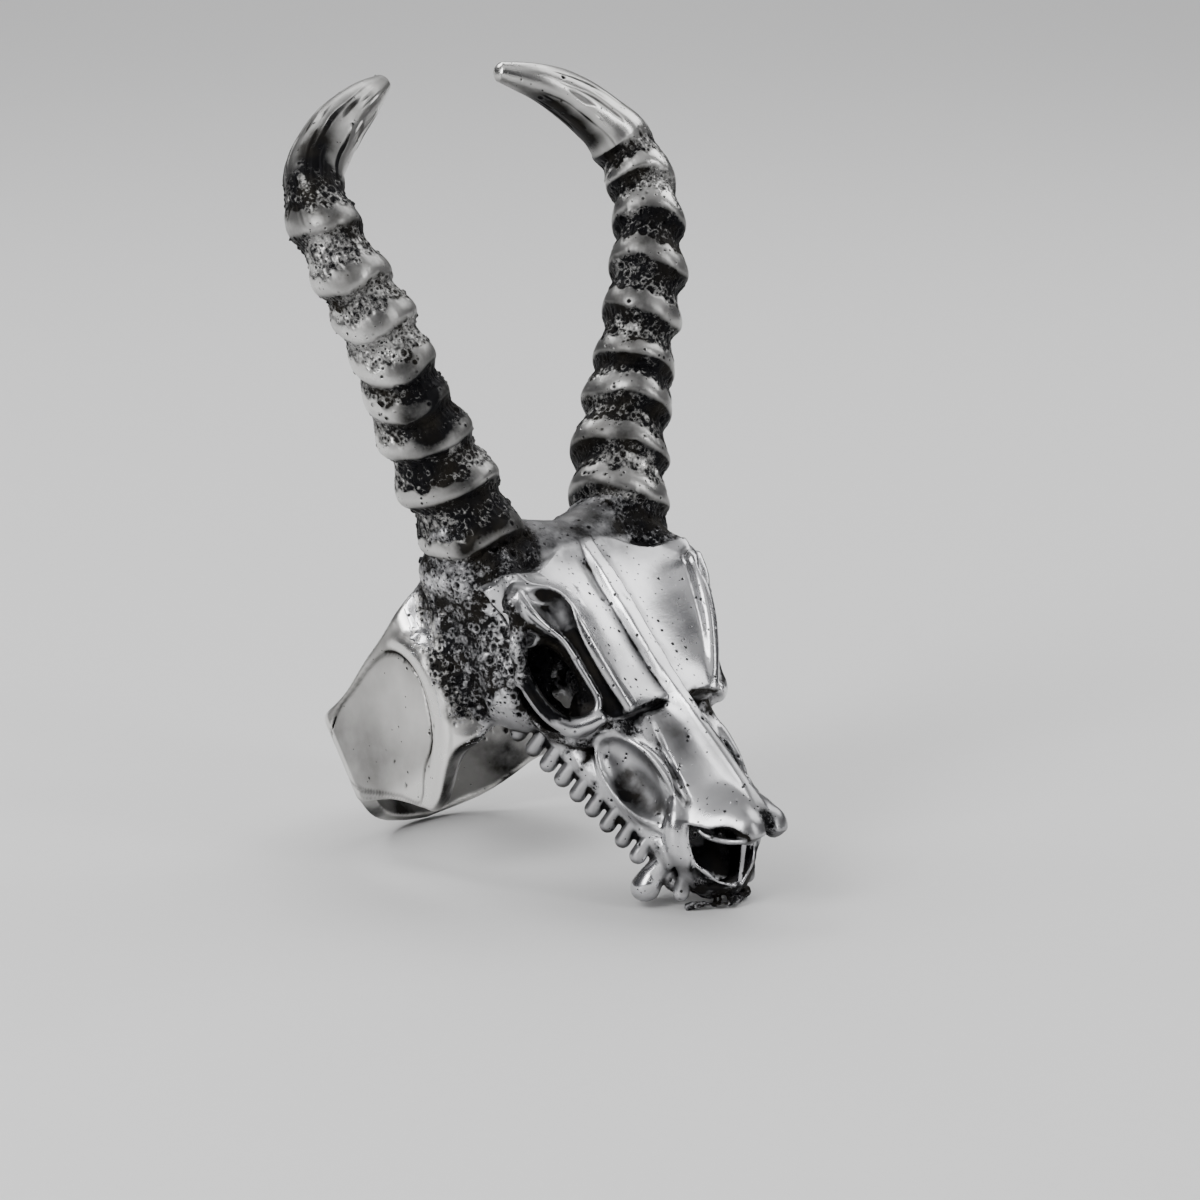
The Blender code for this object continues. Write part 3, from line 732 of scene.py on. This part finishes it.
def carve_nose_end(wax):
    """The nostrils, the wall between them, and the arch of bone in front of the palate."""
    wax.add(ball((0, 14.5, -12.4), (2.9, 1.3, 3.4), tip=12), 0.3)
    wax.carve(((-1, 14.8, -18.0), (3.4, 22.6, -9.8), beyond_nose), 0.3)
    wax.add(rope(NOSTRIL_SIDE, (0.5, 0.8, 0.85, 0.7, 0.5)), 0.35, polished=True)
    # Painted shade low on the column beside the nostril
    wax.blacken_and_shade(rope(((3.3, 15.2, -13.2), (2.9, 15.2, -14.4)), 0.6), 0.75, 1.0)
    wax.add(rope(FRONT_ARCH, 0.62), 0.3)
    wax.blacken_and_shade(rope(((2.3, 15.2, -15.2), (1.4, 15.4, -15.9), (0.4, 15.7, -16.1)), 0.25), 0.8, 0.22)
    wax.carve(rope(NOSTRIL, (1.1, 1.32, 1.5)), 0.12, shade=1.0)
    wax.add(ball((1.25, 20.35, -13.35), (0.8, 0.75, 0.95), tip=35), 0.7, polished=True)
    wax.carve(rope(LENS, (0.25, 0.5, 0.5, 0.25)), 0.1, polished=True, shade=0.75)
    wax.blacken_and_shade(ball((1.0, 15.9, -13.2), (2.2, 1.7, 2.4)), 1.0, 0.2)
    wax.add(rope(LIP, (0.15, 0.2, 0.2, 0.15)), 0.12, polished=True, rim=True)
    wax.carve(rope(((0, 21.6, -12.8), (0, 21.2, -13.6), (0, 20.4, -14.4)), (0.15, 0.34, 0.3)), 0.25,
              shade=0.2)
    wax.roughen(rope(((0, 21.0, -13.0), (0, 20.4, -14.0)), 0.5), 0.8)
    wax.add(rope(((0.06, 19.4, -12.2), (0.06, 18.2, -13.8), (0.06, 16.5, -15.7)), (0.3, 0.14, 0.12)), 0.05,
            polished=True, rim=True)
    wax.add(rope(ARCH_LIP, (0.2, 0.12, 0.16, 0.1, 0.15)), 0.05, polished=True, rim=True)
    wax.add(rope(((3.0, 14.9, -14.2), (3.1, 14.2, -14.9)), (0.45, 0.58)), 0.1, polished=True)
    # Metal behind the fang, blackened as painted shade in the gap beside it
    wax.add(rope(((3.3, 13.9, -12.0), (2.8, 13.7, -14.0)), 0.7), 0.1)
    wax.blacken_and_shade(rope(((3.4, 13.6, -12.2), (2.9, 13.4, -14.2)), 0.6), 0.9, 0.3)
    wax.add(rope(RAGGED_EDGE, (0.3, 0.36, 0.2, 0.38, 0.2, 0.33, 0.22), steps=2), 0.1)
    wax.add(rope(FANG, (0.7, 0.8, 1.0)), 0.1, polished=True)
    wax.add(ball((4.0, 12.2, -13.5), (0.95, 1.35, 0.8), spin=-20), 0.25, polished=True)


def carve_teeth(wax):
    """A row of blunt pegs that point away from the face, each leaned a little from the next."""
    # The gum is blackened, partly as painted shade in the gaps between the teeth
    gum = rope(((6.05, 10.6, -0.3), (5.0, 12.3, -5.8), (3.9, 14.1, -11.3)), 0.45)
    wax.add(gum, 0.2)
    wax.blacken_and_shade(gum, 1.0, 0.4)
    for index in range(TOOTH_COUNT):
        share = index / (TOOTH_COUNT - 1)
        root = np.array((6.1, 11.5, 0.2)) * (1 - share) + np.array((3.9, 14.9, -10.6)) * share
        tip = np.array((6.7, 9.7, -0.6)) * (1 - share) + np.array((4.5, 13.3, -11.5)) * share
        tooth = rope((root, (root + tip) / 2, tip), (0.52, 0.56, 0.58), steps=1)
        wax.add(tooth, 0.04, polished=True)
        wax.blacken_and_shade(tooth, 0.3, 0.3)


def fit_to_band(wax):
    """A fillet of solder where the skull meets the band, and room for the finger below it."""
    band_there = Wax(wax.low, wax.low + wax.cell * (np.array(wax.field.shape) - 1), wax.cell)
    carve_band(band_there)
    wax.field = np.maximum(soft_min(wax.field, band_there.field, 1.1), -band_there.field - 0.06)
    wax.carve(((0, 7.0, -18.0), (11.6, 10.0, 16.0), finger_room), 0.2)
    wax.carve(((0, 9.0, -18.0), (11.6, 18.0, -10.0), table_top), 0.1)


def finger_room(x, w, a):
    """The distance out of the finger's hole, with a little clearance."""
    return bore(x, w, a) - 0.15


def table_top(_, w, a):
    """The height over the table that the ring stands on."""
    return w * math.sin(LEAN) + a * math.cos(LEAN) + RING_CENTRE[2] - 0.02


def thinned(piece, triangles):
    """Merges the faces where the surface is flattest, until about this many triangles are left."""
    before = sum(len(face.vertices) - 2 for face in piece.data.polygons)
    thinner = piece.modifiers.new("thinner", "DECIMATE")
    thinner.ratio = min(1.0, triangles / before)
    bpy.context.view_layer.objects.active = piece
    bpy.ops.object.modifier_apply(modifier="thinner")
    piece.data.shade_smooth()


half_skull = Wax(SKULL_LOW, SKULL_HIGH, SKULL_CELL)
carve_head(half_skull)
carve_muzzle(half_skull)
carve_nose_end(half_skull)
carve_teeth(half_skull)
fit_to_band(half_skull)
half_skull.mirror()
places, faces = half_skull.skin()
skull = cast("skull_cast", places, faces)
across, out, up = places.T
off_middle = np.abs(across)

# Rough where it isn't polished, but smooth between the horns and where the band is smooth
rough = eased(half_skull.away_from(half_skull.polished, places), 0.12, 0.5)
near_band = 1 - eased(out, 11.0, 12.5)
rough = rough * (1 - near_band * (1 - front_roughness(places)))
between_horns = 0.85 * eased(out, 13.2, 14.4) * eased(up, 8.2, 9.4) * (1 - eased(off_middle, 4.5, 6.5))
rough = rough * (1 - between_horns)
behind_brow = eased(up + 1.7 * eased(off_middle, 1.0, 6.0) + 0.8 * wander(places, 1.2, 8.0), 10.0, 10.6)
rough = np.maximum(rough, behind_brow * eased(off_middle, 3.0, 5.0) * eased(out, 13.5, 14.5))
for shape, amount in half_skull.roughened:
    rough = np.maximum(rough, amount * (1 - eased(shape(off_middle, out, up), 0.0, 0.35)))

# Black in the hollows and on the back of the skull, and faint painted shade on the nose and the top of the
# brow
creases = half_skull.hollowness(places, 0.3)
hollows = half_skull.hollowness(places, 1.0)
caves = half_skull.hollowness(places, 2.4)
dark = 0.8 * eased(creases, 0.03, 0.2) + 0.7 * eased(hollows, 0.1, 0.28)
dark = dark + 0.9 * eased(caves, 0.12, 0.26)
dark = dark + 0.3 * rough * eased(hollows, -0.1, 0.15)
dark = half_skull.darkened(places, dark)
dark = dark + 0.52 * eased(out, 12.0, 14.0) * eased(up, 9.3, 9.9)
dark = dark + 0.28 * eased(out, 16.9, 17.5) * eased(-up, 3.8, 4.8)
dark = dark + 0.3 * eased(out, 15.0, 16.0) * eased(up, 6.0, 8.6)

# A line is scribed on one side of the brow only
leaf = 1 - eased(rope(LEAF_EDGE, 0.08)[2](-across, out, up), 0.0, 0.14)
weather(skull, places - 0.1 * leaf[:, None] * outward(skull), rough, dark + 0.6 * leaf)
thinned(skull, SKULL_TRIANGLES)
skull_silver = silver("oxidised_silver", (0.64, 0.64, 0.655), gloss=0.23, veil=0.35, pitted=0.22)
skull.data.materials.append(skull_silver)
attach(skull, "root")
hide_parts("skull")


# Horns
# Two ringed horns that lean back and hook inwards, each one silver casting, soldered to its root on the
# skull. Each ring is a polished swelling that drops away sharply below. The necks are pitted and black.

HORN_ROWS = 480
HORN_COLUMNS = 200
# The middle line of a horn, across, out and up in mm, and how far along it the skull lets it go
HORN_PATH = ((6.5, 12.9, 10.8), (6.9, 13.5, 12.5), (7.4, 14.0, 14.0), (8.2, 14.7, 16.2), (9.5, 15.9, 19.1),
             (10.7, 17.0, 21.7), (11.7, 18.3, 24.2), (12.9, 19.5, 27.1), (14.1, 20.3, 30.4),
             (14.7, 20.7, 33.8), (14.1, 20.9, 36.4), (12.5, 21.3, 38.2), (10.6, 21.6, 39.7),
             (8.2, 21.8, 41.0), (5.1, 21.3, 42.5))
FOOT = 1.85
# Distance back from the tip, then the radius of the necks
NECK = ((0.0, 0.62), (2.0, 1.05), (4.0, 1.4), (6.0, 1.68), (8.0, 1.85), (11.0, 1.95), (14.0, 2.0),
        (20.0, 2.1), (26.0, 2.3), (32.0, 2.7), (38.0, 2.95), (40.0, 3.0))
# Distance of each ring from the horn's foot, and how far it swells
RIGHT_RINGS = ((0.3, 0.62), (4.2, 0.62), (7.9, 0.60), (10.7, 0.52), (13.4, 0.55), (16.6, 0.56),
               (19.8, 0.56), (23.5, 0.5))
LEFT_RINGS = ((0.4, 0.66), (3.7, 0.62), (7.2, 0.60), (10.1, 0.60), (13.4, 0.58), (16.9, 0.6),
              (20.4, 0.56), (23.4, 0.52), (26.6, 0.30))
# How far a ring fades out above and below its crest
RING_ABOVE = 1.35
RING_BELOW = 0.85
# How fine the fibres are round the horn, and how drawn out they are along it
FIBRES_ROUND = 10.5
FIBRE_LENGTH = 1.6
# Side, name, rings, how the rings dip, where painted shade darkens the rings in degrees, painted shade
# under its tip, random start
HORNS = ((-1, "right", RIGHT_RINGS, (-0.7, 0.0), 43, 0.0, 1.0),
         (1, "left", LEFT_RINGS, (0.35, -0.4), -43, 0.8, 4.0))


def path_frames(side):
    """Even steps along the horn's middle line, with the directions to the face and outwards round it."""
    fine, _ = curved(HORN_PATH, 1.0, 30)
    fine = fine * (side, 1, 1)
    lengths = np.concatenate(([0], np.cumsum(np.linalg.norm(np.diff(fine, axis=0), axis=1))))
    total = lengths[-1]
    steps = total * np.linspace(0, 1, HORN_ROWS + 1)
    line = np.stack([np.interp(steps, lengths, fine[:, axis]) for axis in range(3)], axis=1)
    ahead = np.gradient(line, axis=0)
    ahead /= np.linalg.norm(ahead, axis=1)[:, None]
    face = np.array((0, 1, 0)) - ahead * ahead[:, 1:2]
    face /= np.linalg.norm(face, axis=1)[:, None]
    outside = np.cross(ahead, face) * side
    outside *= np.sign(outside[0, 0] * side)
    return line, face, outside, steps, total


def horn_form(rings, dip, total, steps, turn, salt):
    """The radius at each step and turn, how polished it is, and how deep in the shade of a ring it lies."""
    from_tip = (total - steps)[:, None]
    from_foot = (steps - FOOT)[:, None]
    neck, = along(NECK, from_tip)
    neck = np.minimum(neck, np.sqrt(np.clip(from_tip * 1.3, 0, None)))
    shift = dip[0] * np.cos(turn) + dip[1] * np.sin(turn)
    shift = shift + 0.22 * np.sin(2 * turn + salt) + 0.12 * np.sin(3 * turn + 2 * salt)
    swell = np.zeros((len(steps), len(turn)))
    ragged = 0.1 * np.sin(7 * turn + salt) * np.sin(steps[:, None] * 2.1) + 0.08 * np.sin(13 * turn - salt)
    gloss = np.zeros_like(swell)
    shade = np.zeros_like(swell)
    for index, (place, height) in enumerate(rings):
        wave = 0.16 * np.sin(turn * 2 + 5.1 * index + salt) + 0.05 * np.sin(turn * 4 + 2.3 * index)
        gap = from_foot - place - shift - wave
        fullness = 1 + 0.16 * np.sin(turn * 2 + 1.7 * index + salt) + 0.10 * np.sin(3 * turn + index)
        above = np.exp(-((gap / RING_ABOVE) ** 2))
        form = np.where(gap > 0, above, np.exp(-((np.abs(gap) / RING_BELOW) ** 2.4)))
        swell = np.maximum(swell, height * fullness * form)
        gloss = np.maximum(gloss, eased(form + ragged, 0.6, 0.8))
        below = 0.4 * eased(-gap, -0.35, 0.2) + 0.6 * eased(-gap, 0.15, 0.55)
        shade = np.maximum(shade, below * (1 - eased(-gap, 1.0, 1.9)))
    smooth_tip = 1 - eased(from_tip, 10.5, 13.0)
    return neck + swell, np.maximum(gloss * 0.85, smooth_tip * 0.95), shade * (1 - smooth_tip)


def close_tube(horn):
    """Merges the seam and the points at both ends, and faces the surface outwards."""
    bpy.ops.object.mode_set(mode="EDIT")
    bpy.ops.mesh.select_all(action="SELECT")
    bpy.ops.mesh.remove_doubles(threshold=2e-7)
    bpy.ops.mesh.normals_make_consistent(inside=False)
    bpy.ops.object.mode_set(mode="OBJECT")
    horn.data.shade_smooth()
    horn.select_set(False)


def make_horn(name, side, rings, dip, front, tip_shade, salt):
    """A fine grid rolled into a tube along the horn, then weathered and closed."""
    line, face, outside, steps, total = path_frames(side)
    turn = np.linspace(0, 2 * math.pi, HORN_COLUMNS + 1)
    radius, gloss, shade = horn_form(rings, dip, total, steps, turn, salt)
    radius[0] = 0
    radius[-1] = 0
    around = face[:, None] * np.cos(turn)[None, :, None] + outside[:, None] * np.sin(turn)[None, :, None]
    places = (line[:, None] + around * radius[..., None]).reshape(-1, 3)

    bpy.ops.mesh.primitive_grid_add(x_subdivisions=HORN_COLUMNS, y_subdivisions=HORN_ROWS, size=2)
    horn = bpy.context.object
    horn.name = name
    horn.data.name = name
    reshape(horn, places)

    # Fibres and deep grooves run along the horn, and the grooves only near its tip
    from_tip = np.broadcast_to((total - steps)[:, None], radius.shape).ravel()
    unrolled = (FIBRES_ROUND * np.cos(turn), FIBRES_ROUND * np.sin(turn), steps[:, None] / FIBRE_LENGTH)
    unrolled = np.stack(np.broadcast_arrays(*unrolled), axis=-1).reshape(-1, 3)
    fibres = wander(unrolled, 1.0, salt)
    grooves = eased(wander(unrolled, 2.0, salt + 7.0), 0.12, 0.34)
    grooves = grooves * eased(from_tip, 2.5, 5.0) * (1 - eased(from_tip, 12.0, 13.5))

    # Black in the necks, and painted shade below each ring, under the tip and down one side
    mean = radius
    for _ in range(2):
        mean = box_blur(mean, max(1, round(0.45 / (total / HORN_ROWS))), 0)
    hollow = eased((mean - radius).ravel(), 0.02, 0.22)
    facing = outward(horn)
    painted_underside_shade = eased(-facing[:, 1] * math.sin(LEAN) - facing[:, 2] * math.cos(LEAN), 0.0, 0.7)
    painted_underside_shade = tip_shade * painted_underside_shade * eased(from_tip, 2.0, 6.0) * (1 - eased(from_tip, 13.0, 16.0))
    painted_ring_shade = 1 - eased(np.abs(np.sin(turn - math.radians(front))), 0.3, 0.85)
    painted_ring_shade = np.broadcast_to(painted_ring_shade, radius.shape).ravel()
    painted_ring_shade = painted_ring_shade * (0.62 + 0.6 * wander(places, 2.2, salt)) * eased(from_tip, 10.0, 13.0)
    rough = (1 - gloss).ravel()
    dark = 0.8 * shade.ravel() + 0.3 * hollow * rough + 0.6 * grooves + painted_underside_shade
    dark = np.maximum(dark, painted_ring_shade * (1 - rough))

    places = places - facing * (0.08 * fibres * rough + 0.08 * grooves)[:, None]
    weather(horn, places, rough, dark, deep=0.55, swell=0.05)
    close_tube(horn)
    return horn


horn_silver = silver("pitted_silver", (0.64, 0.635, 0.62), gloss=0.24, veil=0.45, pitted=0.15)
for side, word, rings, dip, front, tip_shade, salt in HORNS:
    horn = make_horn("horn_cast_" + word, side, rings, dip, front, tip_shade, salt)
    horn.data.materials.append(horn_silver)
    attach(horn, "root")
    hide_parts("horn_" + word)


# Studio
# A pale table under the ring, a dim room and soft boxes, seen at the photograph's viewing angle.

CAMERA_AZIMUTH = math.radians(-44.62)
CAMERA_HEIGHT = math.radians(13.06)
CAMERA_PLACE = (-0.20710, 0.00617 - 0.21920, 0.08724)


def add_camera():
    """A camera that looks down at the ring a little, from one side of its face."""
    right = Vector((math.cos(CAMERA_AZIMUTH), math.sin(CAMERA_AZIMUTH), 0))
    level = Vector((math.sin(CAMERA_AZIMUTH), -math.cos(CAMERA_AZIMUTH), 0))
    back = level * math.cos(CAMERA_HEIGHT) + Vector((0, 0, math.sin(CAMERA_HEIGHT)))
    up = back.cross(right)
    camera = bpy.data.objects.new("camera", bpy.data.cameras.new("camera"))
    camera.data.lens = 135
    camera.data.sensor_width = 36
    camera.data.clip_start = 0.01
    camera.matrix_world = Matrix.Translation(CAMERA_PLACE) @ Matrix((right, up, back)).transposed().to_4x4()
    bpy.context.scene.collection.objects.link(camera)
    bpy.context.scene.camera = camera


def add_softbox(name, place, size, power, aim=(0, 0, 0.025)):
    """A soft light of this width and height in metres, turned towards the ring."""
    light = bpy.data.objects.new(name, bpy.data.lights.new(name, "AREA"))
    light.data.shape = "RECTANGLE"
    light.data.size, light.data.size_y = size
    light.data.energy = power
    light.location = place
    light.rotation_euler = (Vector(aim) - Vector(place)).to_track_quat("-Z", "Y").to_euler()
    bpy.context.scene.collection.objects.link(light)


add_camera()
add_softbox("left_softbox", (-0.35, -0.02, 0.22), (0.14, 0.30), 1.4)
add_softbox("right_softbox", (0.28, -0.06, 0.32), (0.30, 0.30), 1.0)
add_softbox("top_softbox", (-0.15, -0.11, 0.45), (0.50, 0.50), 0.6)
add_softbox("front_softbox", (0.10, -0.45, 0.20), (0.08, 0.30), 0.7)
add_softbox("back_softbox", (-0.05, 0.30, 0.36), (0.22, 0.16), 0.9)
add_softbox("table_light", (0.60, 0.65, 0.80), (0.80, 0.80), 7.0, (0.65, 0.70, 0.0))

world = bpy.data.worlds.new("studio")
bpy.context.scene.world = world
world.use_nodes = True
world.node_tree.nodes["Background"].inputs["Color"].default_value = (0.06, 0.06, 0.065, 1)

bpy.ops.mesh.primitive_plane_add(size=3)
floor = bpy.context.object
floor.name = "floor"
table = bpy.data.materials.new("pale_table")
table.use_nodes = True
nodes = Nodes(table)
shader = table.node_tree.nodes["Principled BSDF"]
shader.inputs["Roughness"].default_value = 0.6
place = nodes.add("ShaderNodeTexCoord", {}, {}, "Object")
fibre = nodes.noise(place, 900.0, 3.0)
nodes.set(shader, "Base Color", nodes.blend(fibre, (0.71, 0.71, 0.71, 1), (0.73, 0.73, 0.73, 1)))
floor.data.materials.append(table)
floor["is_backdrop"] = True

boxes = {"cad": cad_box, "visual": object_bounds()}
boxes = {name: [[float(value) for value in corner] for corner in box] for name, box in boxes.items()}
